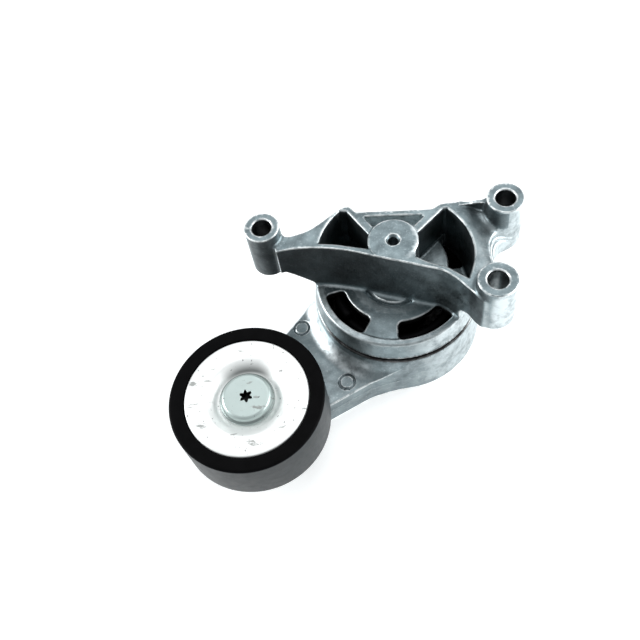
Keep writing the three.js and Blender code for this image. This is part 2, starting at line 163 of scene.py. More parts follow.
def ring_sector(x, y, inner, outer, start, end, corner):
    """Signed distance to a ring sector in plan with rounded corners."""
    mid, half = math.radians((start + end) / 2), math.radians((end - start) / 2)
    c, s = math.cos(mid), math.sin(mid)
    u, v = x * c + y * s, np.abs(-x * s + y * c)
    r = np.sqrt(u * u + v * v)
    middle, thick = (inner + outer) / 2, (outer - inner) / 2
    side = v * math.cos(half) - u * math.sin(half)
    return meet(side, np.abs(r - middle) - thick, corner)


TOWER = plan(rounded([
    *curved([(-49, -2.2), (-42, -1.2), (-30, -1.6), (-18, -4), (-8, -7.4), (2, -10.6), (12, -13.9),
             (19, -16.3), (24, -20.3), (28, -25), (34, -31.5)], 44),
    *curved([(44, -22), (41.3, -13), (40.9, -6), (43.2, 1.2), (48.6, 8.4)], 24),
    (44, 17.6), (23.4, 17.7, 2), (20.5, 17.2, 2), (16.8, 14.9, 2), (-15.2, 16.1, 1), (-17.6, 19.2, 1.5),
    (-19.6, 19.4, 1.2),
    *curved([(-21.7, 18.5), (-26, 15.2), (-34.6, 8.7), (-43, 5.8), (-50, 6)], 24)]))
LEFT_WINDOW = plan(rounded([
    *curved([(-22, 17.1), (-25.2, 13.6), (-28.2, 8.9), (-30.2, 4.2), (-31.1, 1.1)], 16),
    *curved([(-31.1, 1.1), (-24, 0.1), (-17.8, -1.4), (-10.4, -3.2)], 12)[1:],
    (-9.9, 3.6, 0.8), (-19, 16.6, 1)]))
RIGHT_WINDOW = plan(rounded([
    *curved([(9, -8.6), (14.4, -11.8), (21.3, -14.7), (25.8, -18.2)], 14),
    *curved([(29.2, -20.4), (31.8, -12.5), (32.4, -5), (30.2, 4.4), (26.3, 11.1), (23.2, 14.7)], 20),
    (21.6, 14.6, 1), (9.4, 2.2), (9, -5)]))
RECESS = plan(rounded([(-11.6, 12.9, 0.8), (-7.4, 6.6), (7.6, 5.6), (13.2, 11.3, 0.6), (12.4, 12.2, 0.6),
                       (-11, 13.2, 0.6)]))
UNDER_WEB = plan(rounded([(35.4, -4, 1), (38, -3, 1), (39.6, 3, 3), (43.4, 8.2, 1), (38, 12, 2),
                          (30, 13.8, 1), (33.4, 6, 3)]))
WING = plan([(-30, 36.1), (-35, 37.3), (-47, 48), (-30, 48)])
WING_RELIEF = plan([(-75, 30), (-44, 30), (-44, 45.1), (-47, 48), (-75, 48)])
GUSSET = plan([(28.5, 63.8), (28.5, 54), (42, 54), (42, 64.6)])
LEVER = plan(along_arm([(0, 33.6), (0, -34),
                        *curved([(19, -32), (24.5, -29), (30.5, -25.6), (38, -21.9)], 16),
                        (85.4, -10.4), (85.4, 16), (50, 24.9)]))
BACK_POCKETS = [plan(rounded(along_arm(p))) for p in (
    [(40, 1.6, 2), (40, 22.6, 3), (63, 17.6, 3), (67, 1.6, 2)],
    [(67, -1.6, 2), (63, -12.2, 3), (40, -17.6, 3), (40, -1.6, 2)])]
PIN_MARKS = ((-44.5, -11.2), (-24, -40), (-36.1, -48.1))


def bracket_field(x, y, z):
    """The bracket's casting: drum below, tower above it, three bosses and the cells cut into them."""
    r = np.sqrt(x * x + y * y)
    side = (r - (36.6 - (z - 27.5) * 0.1515)) * 0.9888
    face = FACE - 0.3 * np.clip((32.3 - r) / 0.8, 0, 1)
    drum = cut(side, face - z, 1.2)
    drum = np.maximum(drum, 27.5 - z)
    drum = cut(drum, np.maximum(r - 33, z - 33.1), 0.5)
    drum = join(drum, np.maximum(r - 13, np.abs(z - 32.4) - 1.7), 0.8)
    floor = FACE - 2.6 + 1.4 * np.clip((13.9 - r) / 1.2, 0, 1)
    pocket = np.maximum(r - 15.2, floor - z)
    drum = cut(drum, pocket, 1.3)
    for start, end in SLOTS:
        opening = ring_sector(x, y, 23.3, 32, start, end, 2.2)
        drum = cut(drum, np.maximum(opening, 20 - z), 0.8)
    outline = TOWER(x, y)
    slope = TOP - 0.62 * (x - 29.5) - 0.19 * (y - 15.8)
    top = -join(TOP - z, (slope - z) * 0.84, 1.5)
    below = np.minimum(TOP, slope) - z
    flank = np.clip((x - 37) / 2, 0, 1) * np.clip((y + 24) / 3, 0, 1)
    steps = np.clip((below - 1.2) / 0.3, 0, 1) + np.clip((below - 3) / 0.3, 0, 1)
    sides = outline + (z - 58) * 0.02 + (2.2 - 1.1 * steps) * flank
    under = join(BACK - z, np.maximum(r - 34.6, FACE - 1 - z), 6.0)
    under = np.minimum(under, np.maximum(r - 16.6, FACE - 3.4 - z))
    under = np.minimum(under, WING(x, z))
    tower = meet(sides, np.maximum(top, under), 0.45)
    tower = cut(tower, WING_RELIEF(x, z), 1.0)
    thin_wall = np.maximum(GUSSET(x, z), np.abs(y - 16.7) - 0.9)
    tower = join(tower, thin_wall, 1.2)
    for bx, by, br in BOSSES:
        rho = np.sqrt((x - bx) ** 2 + (y - by) ** 2)
        fillet = 3.0 * np.clip((67 - z) / 3, 0, 1) + 0.05
        if by > 10:
            fillet = fillet + 2.5 * np.clip((64 - z) / 4, 0, 1)
        tower = join(tower, prism(rho - br - (FRONT - z) * 0.012, z, BACK, FRONT, 0.35), fillet)
    for window in (LEFT_WINDOW, RIGHT_WINDOW):
        tower = cut(tower, prism(window(x, y) - (z - TOP) * 0.02, z, 20, 90, 0.5), 1.0)
    step = np.maximum(RIGHT_WINDOW(x, y) - 1.0, FACE - 3.4 - z)
    step = meet(np.maximum(r - 23.2, step), z - BACK, 0.8)
    tower = join(tower, step, 1.2)
    recess = np.maximum(prism(RECESS(x, y), z, 57, 90, 1.0), HUB - r)
    tower = cut(tower, recess, 0.8)
    tower = cut(tower, prism(UNDER_WEB(x, y), z, 20, 52, 1.5), 0.8)
    crown = TOP + 0.35 * np.clip((y + 9) / 7, 0, 1)
    column = meet(r - HUB - (TOP - z) * 0.012, np.maximum(z - crown, FACE - 2 - z), 0.45)
    tower = join(tower, meet(column, sides, 0.5), 0.25)
    body = join(drum, tower, 2.0)
    for start in (45, 110):
        lug = prism(ring_sector(x, y, 13.3, 17.5, start, start + 14, 0.5), z, 25.2, 36.1, 0.4)
        body = np.minimum(body, lug)
    body = cut(body, np.maximum(r - 7.4, z - 57.3), 0.1)
    body = cut(body, np.maximum(r - 2.1 - np.maximum(z - TOP + 0.8, 0) * 0.8, 50 - z), 0.15)
    for bx, by, _ in BOSSES:
        rho = np.sqrt((x - bx) ** 2 + (y - by) ** 2)
        mouth = np.clip(np.abs(z - 57.5) - 12.1, 0, 0.5)
        body = cut(body, rho - BORE - mouth, 0.12)
    return body


def arm_field(x, y, z):
    """The arm's casting: lever, cup round the spring, pivot hub and the post that carries the pulley."""
    r = np.sqrt(x * x + y * y)
    rp = np.sqrt((x - PULLEY[0]) ** 2 + (y - PULLEY[1]) ** 2)
    outline = np.minimum(LEVER(x, y), rp - 16)
    draft = np.abs(z - 10) * 0.03 + 0.3 * np.clip((z - 9.8) / 0.4, 0, 1)
    lever = prism(outline + draft, z, 0, PAD, 0.7)
    cup = prism(r - (37.8 - z * 0.0423), z, 0, 25.7, 0.6)
    band = np.maximum(join(lever, cup, 9.0), outline + draft)
    body = np.maximum(np.minimum(join(lever, cup, 0.8), band), -z)
    body = cut(body, prism(r - 32.4, z, 6.2, 90, 1.0), 0.6)
    body = join(body, prism(r - 13, z, 5.4, 29.2, 0.4), 1.5)
    body = cut(body, np.maximum(r - 9.6, -5 - z), 0.2)
    body = cut(body, prism(r - 16.5, z, -20, 5.4, 0.6), 0.5)
    for pocket in BACK_POCKETS:
        body = cut(body, prism(pocket(x, y) + z * 0.03, z, -20, 10.5, 1.6), 0.8)
    body = join(body, prism(rp - 11.4, z, 10, 23.9, 0.4), 1.2)
    body = join(body, prism(rp - 8.4, z, 20, 35.5, 0.4), 0.5)
    body = cut(body, np.maximum(rp - 4, 5.7 - z), 0.1)
    lug = prism(ring_sector(x, y, 12, 17.5, 60, 74, 0.5), z, 21.2, 29.2, 0.4)
    body = join(body, lug, 0.5)
    for mx, my in PIN_MARKS:
        rho = np.sqrt((x - mx) ** 2 + (y - my) ** 2)
        body = cut(body, prism(np.abs(rho - PIN_MARK) - 0.45, z, 14.4, 40, 0.1), 0.3)
    return body


def bolt_field(x, y, z):
    """The bolt: a tapered round head on a washer face, a six-lobed socket and a plain shank."""
    u, v = x - PULLEY[0], y - PULLEY[1]
    rho = np.sqrt(u * u + v * v)
    around = np.arctan2(v, u) + 0.35
    head = meet(rho - (10.9 - (z - 40) * 0.35), z - 42.8, 1.0)
    head = np.maximum(head, 38.8 - z)
    body = join(head, prism(rho - 11.5, z, 38.8, 40.5, 0.5), 0.5)
    body = join(body, prism(rho - 3.9, z, 6, 39.5, 0.4), 0.3)
    lobes = (rho - 2.25 - 0.55 * np.cos(6 * around)) * 0.7
    return cut(body, np.maximum(lobes, 38.2 + rho * 0.3 - z), 0.2)


# ------------------------------------------------------------ meshes

def gradient(field, p, step=0.03):
    """How steeply a field rises along each axis, by central differences."""
    g = np.empty_like(p)
    for i in range(3):
        ahead, behind = p.copy(), p.copy()
        ahead[:, i] += step
        behind[:, i] -= step
        g[:, i] = (field(*ahead.T) - field(*behind.T)) / (2 * step)
    return g


def onto_surface(field, p, rounds=3, reach=0.25):
    """Points moved onto the field's zero level by Newton steps of limited length."""
    for _ in range(rounds):
        g = gradient(field, p)
        move = -(field(*p.T) / np.maximum((g * g).sum(1), 0.2))[:, None] * g
        length = np.linalg.norm(move, axis=1, keepdims=True)
        p = p + move * np.minimum(1, reach / np.maximum(length, 1e-9))
    return p


def falls(value, start, end):
    """1 before start, 0 after end, smooth between."""
    t = np.clip((value - end) / (start - end), 0, 1)
    return t * t * (3 - 2 * t)


def facing(n, way, start=0.35, end=0.85):
    """1 where an upright side faces one way in plan, falling to 0 as it turns off."""
    flat = np.maximum(np.hypot(n[:, 0], n[:, 1]), 1e-6)
    aligned = (n[:, 0] * way[0] + n[:, 1] * way[1]) / (flat * math.hypot(*way))
    return falls(-aligned, -end, -start) * falls(np.abs(n[:, 2]), 0.45, 0.8)


def bracket_painted_shading(p, n):
    """Painted light and shade on the bracket (1 black, -1 bright): painted shade darkest in the windows and
    on the long rib.
    """
    x, y, z = p.T
    radius = np.hypot(x, y)
    upright = falls(np.abs(n[:, 2]), 0.35, 0.75)
    near_side = falls(n[:, 1], -0.8, -0.35) * upright * falls(-z, -39, -37.5) * falls(y, 3, 5)
    bx, by, reach = BOSSES[2]
    boss = falls(np.hypot(x - bx, y - by), reach + 1.2, reach + 2.4) * falls(z, 68.5, 69.3)
    boss = boss * facing(n, (0.35, -1), 0.5, 0.95)
    rib = near_side * (0.1 + 0.6 * falls(x, -15, 32)) * falls(x, 33, 38)
    wall = falls(-x, -30, -28) * falls(x, 40, 42) * falls(-y, -14, -12) * falls(-z, -56, -55)
    gusset = facing(n, (0, -1)) * wall * 0.7
    windowed = falls(np.minimum(LEFT_WINDOW(x, y), RIGHT_WINDOW(x, y)), 0.35, 0.75)
    window = windowed * falls(z, 61.5, 63.3) * falls(-z, -48, -45.6) * 0.42
    face = falls(z, 37.2, 37.4) * falls(-z, -36, -35) * (0.16 + 0.24 * falls(x, -30, -5))
    recess = falls(RECESS(x, y), 0.2, 0.6) * falls(z, 63, 63.6) * falls(-z, -56, -55)
    ledge = windowed * falls(z, 45.4, 46.5) * falls(-z, -36.5, -36) * falls(-n[:, 2], -0.7, -0.4) * 0.15
    crescent = falls(np.abs(radius - 10.2), 0.4, 1.1) * falls(-x, -9, -4) * falls(y, 4, 8)
    crescent = crescent * falls(-z, -TOP, 0.5 - TOP)
    left_sides = facing(n, (-1, -0.6), 0.3, 0.8) * falls(-x, -30, -28) * falls(z, 68.5, 69.3) * 0.6
    bores = [falls(np.hypot(x - bx, y - by), BORE + 0.1, BORE + 0.4) * falls(z, 69.2, 69.6) * 0.9
             for bx, by, _ in BOSSES]
    under = falls(z, 36, 37) * falls(radius, 33.2, 33.6) * falls(-radius, -20, -17)
    under = np.maximum(under, falls(z, 33.4, 34) * falls(radius, 20, 21))
    seam = falls(z, 27.9, 28.3) * falls(y, -24, -10)
    # Painted shade: the rib's and gusset's near sides, the windows, the right bosses' left sides, under the
    # drum's face, the seam and the bores.
    dark = np.clip(np.maximum.reduce([rib, gusset, window, left_sides, under, seam, *bores]), 0, 1)
    # Painted light: sides facing right, the left boss's left side, the drum's face, the wing's slope, the
    # drum's left flank, the recess, the window ledge and a highlight crescent round the hub.
    bright = facing(n, (0.86, -0.5), 0.2, 0.85) * falls(-x, -20, 5) * 0.6
    left_boss = facing(n, (-1, -0.35), 0.5, 1) * falls(x, -48, -44) * 0.6
    slope = falls(-x, -36, -30) * falls(-n[:, 2], -0.8, -0.6) * falls(z, 64.4, 65)
    slope = slope * falls(-z, -50, -48) * 0.2
    flank = facing(n, (-1, -0.3), 0.4, 0.9) * falls(-radius, -34.9, -34.4) * falls(z, 37, 38) * 0.3
    bright = np.maximum.reduce([bright, left_boss, face, slope, flank, recess * 0.8, ledge, crescent * 0.8])
    # The lower right boss's near side gets painted light in place of the rest.
    return np.where(dark > 0.1, dark, -bright) * (1 - boss) - 0.7 * boss


def arm_painted_shading(p, n):
    """Painted highlight where the lever sweeps up to the cup on its far side; painted shade, black, inside
    the cup and in the seam.
    """
    x, y, z = p.T
    radius = np.hypot(x, y)
    flat = np.maximum(np.hypot(n[:, 0], n[:, 1]), 1e-6)
    left = falls(n[:, 0] / flat, -0.6, -0.2)
    # Painted highlight on the fillet where the lever sweeps up to the cup.
    sweep = falls(n[:, 2], 0.93, 0.995) * falls(-n[:, 2], -0.3, -0.1) * falls(-radius, -36.9, -36.6)
    sweep = sweep * left * falls(z, 22, 25) * falls(-z, -14.3, -13.9)
    # Painted shade inside the cup and on the cup's top rim where it runs under the drum.
    inner = falls(radius, 36.2, 36.5) * falls(-z, -3, -2)
    inner = np.maximum(inner, falls(-z, -25.1, -24.8) * falls(y, -24, -10))
    # The ejector pin marks' rings are drawn darker.
    marks = [falls(np.abs(np.hypot(x - mx, y - my) - PIN_MARK), 0.3, 0.75) for mx, my in PIN_MARKS]
    ring = np.maximum.reduce(marks) * falls(-z, -14, -13.8) * falls(z, 15, 15.5) * 0.35
    # Painted light on sides facing right, and at least a little over the whole arm.
    bright = facing(n, (0.9, -0.4), 0.3, 0.95) * falls(-x, -15, 12) * 0.55
    return np.where(inner > 0.1, inner, ring - np.maximum(np.maximum(sweep, bright), 0.1))


def bolt_painted_shading(p, n):
    """Painted shade inside the socket and on the head's lower edge."""
    rho = np.hypot(p[:, 0] - PULLEY[0], p[:, 1] - PULLEY[1])
    socket = falls(rho, 3.1, 3.4) * falls(p[:, 2], 42.3, 42.7)
    return np.maximum(socket, falls(np.abs(p[:, 2] - 40.4), 0.3, 0.8) * falls(-rho, -9.5, -9) * 0.55)


def shield_painted_shading(p, n):
    """Painted shade on the dish: a painted dark reflection on its far side, where it faces the room, and a
    faint painted shadow of the bolt head on its near side.
    """
    x, y = p[:, 0] - PULLEY[0], p[:, 1] - PULLEY[1]
    rho = np.hypot(x, y)
    slope = falls(np.abs(rho - 13.8), 0.6, 2.4)
    far = slope * falls(-y / rho, -0.98, -0.55) * 0.75
    near = slope * falls(y / rho, -0.95, -0.3) * 0.05
    return np.where(n[:, 2] > 0, far + near, 0)


def surface_net(field, low, high, step):
    """Quads round the zero level of a field, one vertex to a grid cell."""
    axes = [np.arange(low[i], high[i] + step, step) for i in range(3)]
    f = field(axes[0][:, None, None], axes[1][None, :, None], axes[2][None, None, :])
    inside = f < 0
    corners = [(i, j, k) for i in (0, 1) for j in (0, 1) for k in (0, 1)]
    n = [s - 1 for s in f.shape]
    count = sum(inside[i:i + n[0], j:j + n[1], k:k + n[2]].astype(np.uint8) for i, j, k in corners)
    mixed = (count > 0) & (count < 8)
    cells = np.argwhere(mixed)
    number = np.full(mixed.shape, -1, np.int32)
    number[mixed] = np.arange(len(cells))
    total, hits = np.zeros((len(cells), 3)), np.zeros(len(cells))
    for a in corners:
        for axis in range(3):
            if a[axis]:
                continue
            b = tuple(1 if i == axis else a[i] for i in range(3))
            fa, fb = f[tuple((cells + a).T)], f[tuple((cells + b).T)]
            crossed = (fa < 0) != (fb < 0)
            t = np.where(crossed, fa / np.where(crossed, fa - fb, 1), 0)
            total += crossed[:, None] * (np.array(a) + t[:, None] * (np.array(b) - a))
            hits += crossed
    points = np.array(low) + step * (cells + total / hits[:, None])
    quads = []
    for axis in range(3):
        u, v = (axis + 1) % 3, (axis + 2) % 3
        lower = inside[tuple(slice(None, -1) if i == axis else slice(None) for i in range(3))]
        upper = inside[tuple(slice(1, None) if i == axis else slice(None) for i in range(3))]
        at = np.argwhere(lower != upper)
        at = at[(at[:, u] > 0) & (at[:, v] > 0)]
        du, dv = np.eye(3, dtype=int)[u], np.eye(3, dtype=int)[v]
        quad = np.stack([number[tuple(c.T)] for c in (at - du - dv, at - dv, at, at - du)], 1)
        flip = ~lower[tuple(at.T)]
        quad[flip] = quad[flip][:, ::-1]
        quads.append(quad)
    return points, np.concatenate(quads)


def piece(name, points, faces, body, nodes, finish):
    """A mesh in millimetres as an object that rides on its body and stands for its CAD nodes."""
    data = bpy.data.meshes.new(name)
    data.from_pydata((np.asarray(points) * MM).tolist(), [], faces)
    data.polygons.foreach_set("use_smooth", [True] * len(data.polygons))
    data.update()
    obj = bpy.data.objects.new(name, data)
    bpy.context.scene.collection.objects.link(obj)
    data.materials.append(finish)
    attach(obj, body)
    if nodes:
        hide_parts(*nodes)
    return obj


def thin_out(obj, most):
    """Collapses the flattest edges until at most so many triangles are left."""
    triangles = sum(len(p.vertices) - 2 for p in obj.data.polygons)
    if triangles <= most:
        return
    modifier = obj.modifiers.new("fewer", "DECIMATE")
    modifier.ratio = most / triangles
    graph = bpy.context.evaluated_depsgraph_get()
    made = bpy.data.meshes.new_from_object(obj.evaluated_get(graph))
    obj.modifiers.clear()
    obj.data = made


def store(data, label, values):
    """Keeps a value for each vertex, for the material to read."""
    data.attributes.new(label, "FLOAT", "POINT").data.foreach_set("value", values.astype(np.float32))


def casting(name, field, painted_shading, low, high, step, body, nodes, finish, most=180000):
    """A cast piece from its distance field, with exact normals, and its edges' curve and painted shading
    stored.
    """
    points, quads = surface_net(field, low, high, step)
    points = onto_surface(field, points)
    obj = piece(name, points, quads.tolist(), body, nodes, finish)
    thin_out(obj, most)
    data = obj.data
    co = np.empty(len(data.vertices) * 3)
    data.vertices.foreach_get("co", co)
    p = onto_surface(field, co.reshape(-1, 3) / MM, 2, 0.1)
    data.vertices.foreach_set("co", (p * MM).ravel())
    g = gradient(field, p, 0.08)
    g /= np.maximum(np.linalg.norm(g, axis=1, keepdims=True), 1e-9)
    data.polygons.foreach_set("use_smooth", [True] * len(data.polygons))
    data.normals_split_custom_set_from_vertices(g.tolist())
    reach = 0.7
    bend = -6 * field(*p.T)
    for i in range(3):
        for way in (-reach, reach):
            q = p.copy()
            q[:, i] += way
            bend += field(*q.T)
    store(data, "edge", bend / reach)
    store(data, "painted_shading", painted_shading(p, g))
    return obj


def turned(name, profile, centre, body, nodes, finish, around=192):
    """A closed profile of (radius, height, corner radius) points turned round a vertical axis."""
    outline = rounded(profile, 4)
    points, faces, rings = [], [], []
    for radius, height in outline:
        if radius < 1e-6:
            rings.append([len(points)] * around)
            points.append((centre[0], centre[1], height))
            continue
        rings.append(list(range(len(points), len(points) + around)))
        for k in range(around):
            a = 2 * math.pi * k / around
            points.append((centre[0] + radius * math.cos(a), centre[1] + radius * math.sin(a), height))
    for a, b in zip(rings, rings[1:] + rings[:1]):
        if a[0] == a[1] and b[0] == b[1]:
            continue
        for k in range(around):
            m = (k + 1) % around
            faces.append(list(dict.fromkeys([a[k], a[m], b[m], b[k]])))
    return piece(name, points, faces, body, nodes, finish)


def tube_along(name, line, radius, sides, body, nodes, finish):
    """A round wire along a line of points, its ends closed."""
    p = np.array(line, float)
    along = np.gradient(p, axis=0)
    along /= np.linalg.norm(along, axis=1, keepdims=True)
    across = np.cross(along, (0, 0, 1.0))
    across /= np.linalg.norm(across, axis=1, keepdims=True)
    third = np.cross(across, along)
    a = np.linspace(0, 2 * math.pi, sides, endpoint=False)
    rings = (p[:, None] + radius * (np.cos(a)[None, :, None] * across[:, None]
                                    + np.sin(a)[None, :, None] * third[:, None]))
    count = len(p)
    faces = []
    for i in range(count - 1):
        for k in range(sides):
            m = (k + 1) % sides
            faces.append([i * sides + k, (i + 1) * sides + k, (i + 1) * sides + m, i * sides + m])
    faces.append(list(range(sides)))
    faces.append([(count - 1) * sides + k for k in reversed(range(sides))])
    return piece(name, rings.reshape(-1, 3), faces, body, nodes, finish)


# ------------------------------------------------------------ materials

class Finish:
    """A procedural material built up from a few kinds of node."""

    def __init__(self, name, colour, rough, metal):
        self.material = bpy.data.materials.new(name)
        self.material.use_nodes = True
        self.nodes, self.links = self.material.node_tree.nodes, self.material.node_tree.links
        self.shader = self.nodes["Principled BSDF"]
        self.shader.inputs["Base Color"].default_value = (*colour, 1)
        self.shader.inputs["Roughness"].default_value = rough
        self.shader.inputs["Metallic"].default_value = metal
        self.place = self.nodes.new("ShaderNodeTexCoord").outputs["Object"]

    def noise(self, scale, detail=4, rough=0.55, stretch=None):
        """Cloudy noise, scaled per metre of the object, and stretched along an axis if asked."""
        node = self.nodes.new("ShaderNodeTexNoise")
        node.inputs["Scale"].default_value = scale
        node.inputs["Detail"].default_value = detail
        node.inputs["Roughness"].default_value = rough
        source = self.place
        if stretch:
            mapping = self.nodes.new("ShaderNodeMapping")
            mapping.inputs["Scale"].default_value = stretch
            self.links.new(source, mapping.inputs["Vector"])
            source = mapping.outputs["Vector"]
        self.links.new(source, node.inputs["Vector"])
        return node.outputs["Fac"]

    def attribute(self, name):
        node = self.nodes.new("ShaderNodeAttribute")
        node.attribute_name = name
        return node.outputs["Fac"]

    def ramp(self, value, low, high, to_low=0.0, to_high=1.0):
        """A value's range low to high mapped onto another, and clamped to it."""
        node = self.nodes.new("ShaderNodeMapRange")
        self.links.new(value, node.inputs["Value"])
        for key, number in (("From Min", low), ("From Max", high), ("To Min", to_low), ("To Max", to_high)):
            node.inputs[key].default_value = number
        return node.outputs["Result"]

    def math(self, how, a, b):
        node = self.nodes.new("ShaderNodeMath")
        node.operation = how
        for i, value in enumerate((a, b)):
            if isinstance(value, (int, float)):
                node.inputs[i].default_value = value
            else:
                self.links.new(value, node.inputs[i])
        return node.outputs["Value"]

    def mix(self, factor, a, b):
        node = self.nodes.new("ShaderNodeMix")
        node.data_type = "RGBA"
        self.links.new(factor, node.inputs["Factor"])
        for key, value in ((6, a), (7, b)):
            if isinstance(value, tuple):
                node.inputs[key].default_value = (*value, 1)
            else:
                self.links.new(value, node.inputs[key])
        return node.outputs[2]

    def colour(self, value):
        self.links.new(value, self.shader.inputs["Base Color"])

    def roughness(self, value):
        self.links.new(value, self.shader.inputs["Roughness"])

    def bump(self, layers):
        """Layers of (height, depth in metres), the finest last."""
        normal = None
        for height, depth in layers:
            node = self.nodes.new("ShaderNodeBump")
            node.inputs["Strength"].default_value = 1.0
            node.inputs["Distance"].default_value = depth
            self.links.new(height, node.inputs["Height"])
            if normal:
                self.links.new(normal, node.inputs["Normal"])
            normal = node.outputs["Normal"]
        self.links.new(normal, self.shader.inputs["Normal"])


def cast_aluminium(name):
    """Grey blotched skin with pits, worn edges brightened partly as a painted highlight, painted shade in
    the hollows, and the stored painted shading over it.
    """
    f = Finish(name, (0.3, 0.32, 0.32), 0.45, 1.0)
    blotch, fine = f.noise(110, 6, 0.6), f.noise(900, 3, 0.6)
    base = f.mix(f.ramp(blotch, 0.35, 0.68), (0.13, 0.165, 0.178), (0.25, 0.31, 0.33))
    base = f.mix(f.ramp(fine, 0.56, 0.72, 0, 0.45), base, (0.42, 0.48, 0.5))
    edge = f.attribute("edge")
    # Convex edges drawn bright in patches: partly wear, partly a painted highlight.
    worn_edge_highlight = f.math("MULTIPLY", f.ramp(edge, 0.3, 1.0), f.ramp(f.noise(320, 4), 0.3, 0.55))
    base = f.mix(worn_edge_highlight, base, (0.86, 0.9, 0.9))
    # Painted shade in concave hollows and creases.
    base = f.mix(f.ramp(edge, -0.3, -1.4, 0, 0.35), base, (0.06, 0.068, 0.07))
    pits = f.ramp(f.noise(1500, 2, 0.5), 0.70, 0.76, 0, 0.7)
    base = f.mix(pits, base, (0.05, 0.05, 0.05))
    patchy = f.ramp(f.noise(130, 5, 0.65), 0.3, 0.6, 0.82, 1.0)
    painted_shading = f.attribute("painted_shading")
    # Painted light where the stored shading is below zero, broken into patches.
    painted_light_mottle = f.ramp(f.noise(210, 5, 0.7), 0.36, 0.56, 0.35, 1.0)
    base = f.mix(f.math("MULTIPLY", f.ramp(painted_shading, 0, -1), painted_light_mottle), base, (0.86, 0.93, 0.95))
    # Painted shade where the stored shading is above zero, also in patches.
    f.colour(f.mix(f.math("MULTIPLY", f.ramp(painted_shading, 0, 1), patchy), base, (0.03, 0.028, 0.028)))
    f.roughness(f.ramp(f.noise(260, 4), 0.3, 0.7, 0.36, 0.52))
    f.bump([(f.noise(160, 4), 0.00025), (f.noise(1300, 3), 0.00006)])
    return f.material


def zinc(name, tint, rough, metal):
    """Satin plating with scuffs and small dark spots, and the stored painted shade over it."""
    f = Finish(name, tint, rough, metal)
    scuff = f.noise(95, 5, 0.62, (1.0, 2.4, 1.0))
    spots = f.noise(750, 2, 0.5)
    base = f.mix(f.ramp(scuff, 0.62, 0.66, 0, 0.8), tint, (0.25, 0.26, 0.25))
    base = f.mix(f.ramp(spots, 0.69, 0.74, 0, 0.8), base, (0.08, 0.09, 0.09))
    # Painted shade from the stored attribute takes the colour towards near black.
    f.colour(f.mix(f.attribute("painted_shading"), base, (0.012, 0.014, 0.014)))
    f.roughness(f.ramp(f.noise(200, 4), 0.3, 0.7, rough - 0.05, rough + 0.08))
    f.bump([(f.noise(500, 3), 0.00003)])
    return f.material


def steel(name, colour, rough):
    f = Finish(name, colour, rough, 1.0)
    f.roughness(f.ramp(f.noise(400, 4), 0.3, 0.7, rough - 0.06, rough + 0.1))
    f.bump([(f.noise(900, 3), 0.00002)])
    return f.material


def nylon(name, colour, rough, shine=0.5):
    f = Finish(name, colour, rough, 0.0)
    f.shader.inputs["Specular IOR Level"].default_value = shine
    darker = tuple(c * 0.7 for c in colour)
    f.colour(f.mix(f.ramp(f.noise(240, 4), 0.35, 0.65), darker, colour))
    f.roughness(f.ramp(f.noise(300, 4), 0.3, 0.7, rough - 0.03, rough + 0.04))
    f.bump([(f.noise(1100, 3), 0.00003)])
    return f.material


aluminium = cast_aluminium("cast_aluminium")
arm_aluminium = cast_aluminium("cast_aluminium_arm")
zinc_shield = zinc("zinc_shield", (0.93, 0.95, 0.94), 0.45, 0.55)
zinc_bolt = zinc("zinc_bolt", (0.5, 0.585, 0.57), 0.4, 0.8)
ground_steel = steel("ground_steel", (0.56, 0.57, 0.58), 0.25)
dark_steel = steel("dark_steel", (0.012, 0.012, 0.013), 0.6)
black_plastic = nylon("black_plastic", (0.003, 0.003, 0.0033), 0.55, 0.03)
belt_face = nylon("belt_face", (0.009, 0.0145, 0.0175), 0.42, 0.3)
rubber = nylon("rubber", (0.006, 0.006, 0.006), 0.8, 0.1)
pale_plastic = nylon("pale_plastic", (0.62, 0.56, 0.43), 0.55)

# ------------------------------------------------------------ pieces

fine = 0.42
casting("cast_bracket", bracket_field, bracket_painted_shading, (-64, -39, 24), (57, 39, 73), fine,
        "bracket", ["bracket"], aluminium)
casting("cast_arm", arm_field, arm_painted_shading, (-81, -75, -2), (40, 40, 38), fine,
        "arm", ["tensioner_arm"], arm_aluminium)

shell = turned("turned_pulley", [
    (18.9, 22.8, 0.2), (23.2, 22.8, 0.6), (23.2, 30, 1.2), (28.4, 30, 1.2), (28.4, 17.5, 0.3),
    (31.7, 17.5, 0.6), (32.5, 18.3, 0.6), (32.5, 41.7, 0.7), (31.7, 42.5, 0.7), (26.4, 42.5, 0.3),
    (26.4, 39.2, 0.4), (22.2, 38.4, 0.5), (18.9, 37.4, 0.3), (18.9, 36.1), (20.1, 36.1), (20.1, 23.9),
    (18.9, 23.9)],
    PULLEY, "pulley", ["pulley_shell"], black_plastic, 288)
shell.data.materials.append(belt_face)
for polygon in shell.data.polygons:
    if math.hypot(polygon.center.x / MM - PULLEY[0], polygon.center.y / MM - PULLEY[1]) > 32.4:
        polygon.material_index = 1
shield = turned("pressed_shield", [
    (4.4, 37.3, 0.2), (13, 37.3, 2.5), (17.4, 41, 2.5), (25.1, 41, 0.3), (25.1, 40.2, 0.2), (26, 40.2, 0.2),
    (26, 42.2, 0.7), (17, 42.2, 3.0), (12.6, 38.5, 3.0), (4.4, 38.5, 0.2)],
    PULLEY, "arm", ["front_dust_shield"], zinc_shield, 256)
places = np.array([v.co for v in shield.data.vertices]) / MM
ways = np.array([v.normal for v in shield.data.vertices])
store(shield.data, "painted_shading", shield_painted_shading(places, ways))

casting("pulley_bolt_head", bolt_field, bolt_painted_shading,
        [PULLEY[0] - 13, PULLEY[1] - 13, 5], [PULLEY[0] + 13, PULLEY[1] + 13, 44],
        0.26, "arm", ["pulley_bolt"], zinc_bolt, 90000)

